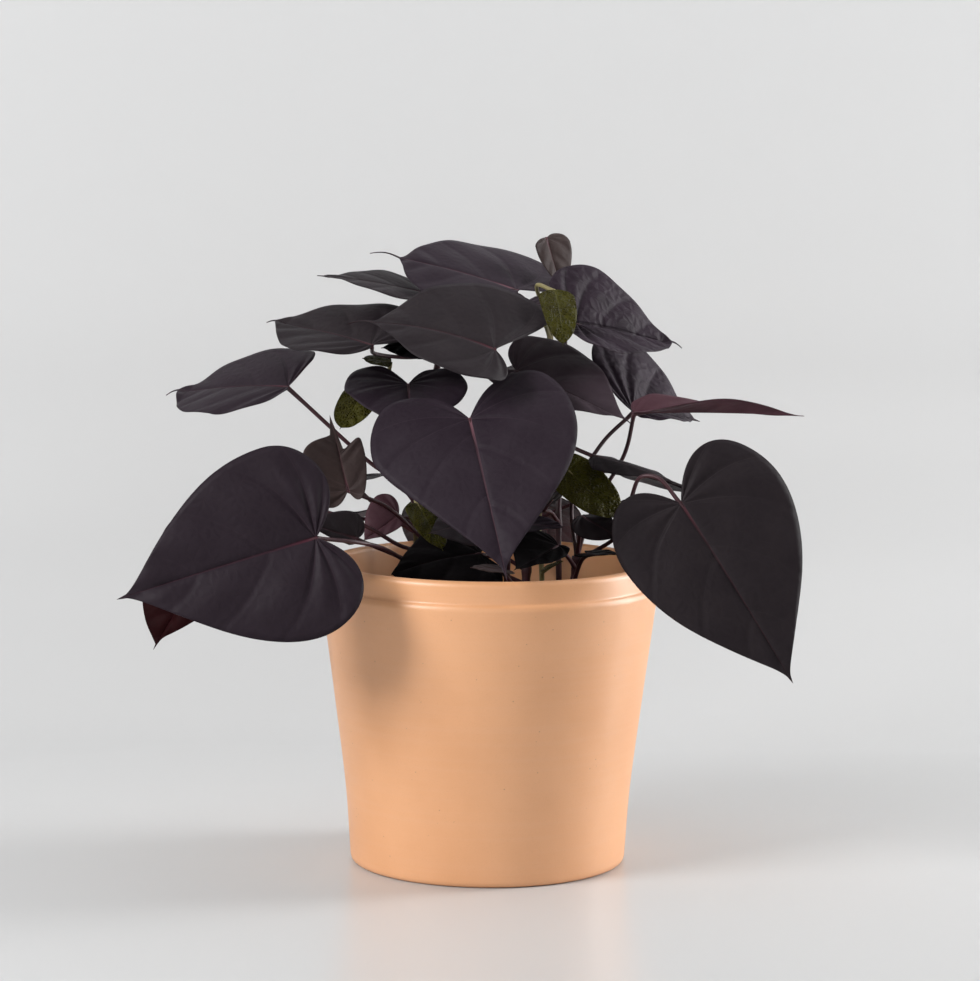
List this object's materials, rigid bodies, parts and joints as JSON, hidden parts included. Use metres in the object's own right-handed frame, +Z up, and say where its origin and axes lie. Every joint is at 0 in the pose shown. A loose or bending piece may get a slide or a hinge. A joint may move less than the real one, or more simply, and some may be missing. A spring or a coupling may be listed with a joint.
{
  "type": "potted sweet potato vine",
  "caption": "Potted vine with near-black heart-shaped leaves on arching wine-red stalks, in a tapered terracotta pot with a rounded lip.",
  "frame": {"origin": "middle of the pot's flat underside, on the pot's axis", "axes": "+Z up along the pot's axis, the plant's front towards -Y, its left towards -X"},
  "size_m": [0.392, 0.2796, 0.3711],
  "materials": {
    "terracotta": "unglazed fired clay, matt, with fine throwing lines and small pits",
    "potting_soil": "moist dark potting mix with crumbs",
    "dark_leaf": "satin blackish purple blade with sunken veins and a wine-red midrib",
    "wine_stem": "satin dark wine-red stem",
    "green_leaf": "quilted olive-green blade with a light sheen",
    "pale_stem": "pale green-brown stem, slightly hairy"
  },
  "bodies": {
    "root": {"leaf_back_crown": "dark_leaf", "leaf_back_high_left": "dark_leaf", "leaf_back_high_right": "dark_leaf", "leaf_back_left": "dark_leaf", "leaf_back_low_left": "dark_leaf", "leaf_back_low_right": "dark_leaf", "leaf_back_middle": "dark_leaf", "leaf_back_right": "dark_leaf", "leaf_back_side_left": "dark_leaf", "leaf_back_side_right": "dark_leaf", "leaf_back_upper": "dark_leaf", "leaf_centre_left": "dark_leaf", "leaf_centre_right": "dark_leaf", "leaf_crown_bud": "dark_leaf", "leaf_crown_centre": "dark_leaf", "leaf_crown_left": "dark_leaf", "leaf_crown_right": "dark_leaf", "leaf_crown_small": "dark_leaf", "leaf_crown_top": "dark_leaf", "leaf_front_heart": "dark_leaf", "leaf_green_cap": "green_leaf", "leaf_green_foot": "green_leaf", "leaf_green_left": "green_leaf", "leaf_green_low": "green_leaf", "leaf_green_right": "green_leaf", "leaf_green_shaded": "green_leaf", "leaf_green_top": "green_leaf", "leaf_left_curled": "dark_leaf", "leaf_left_large": "dark_leaf", "leaf_left_shoulder": "dark_leaf", "leaf_left_tucked": "dark_leaf", "leaf_left_under": "dark_leaf", "leaf_left_upper": "dark_leaf", "leaf_left_upright": "dark_leaf", "leaf_mouth_back": "dark_leaf", "leaf_mouth_centre": "dark_leaf", "leaf_mouth_dark": "dark_leaf", "leaf_mouth_front": "dark_leaf", "leaf_mouth_left": "dark_leaf", "leaf_mouth_right": "dark_leaf", "leaf_mouth_sheen": "dark_leaf", "leaf_mouth_twisted": "dark_leaf", "leaf_right_large": "dark_leaf", "leaf_right_middle": "dark_leaf", "leaf_right_spear": "dark_leaf", "leaf_right_thin": "dark_leaf", "leaf_under_crown": "dark_leaf", "pot": "terracotta", "soil": "potting_soil", "stem_back": "wine_stem", "stem_centre": "wine_stem", "stem_companion_left": "pale_stem", "stem_companion_right": "pale_stem", "stem_front": "wine_stem", "stem_left": "wine_stem", "stem_right": "wine_stem", "stem_side": "wine_stem"}
  },
  "joints": []
}
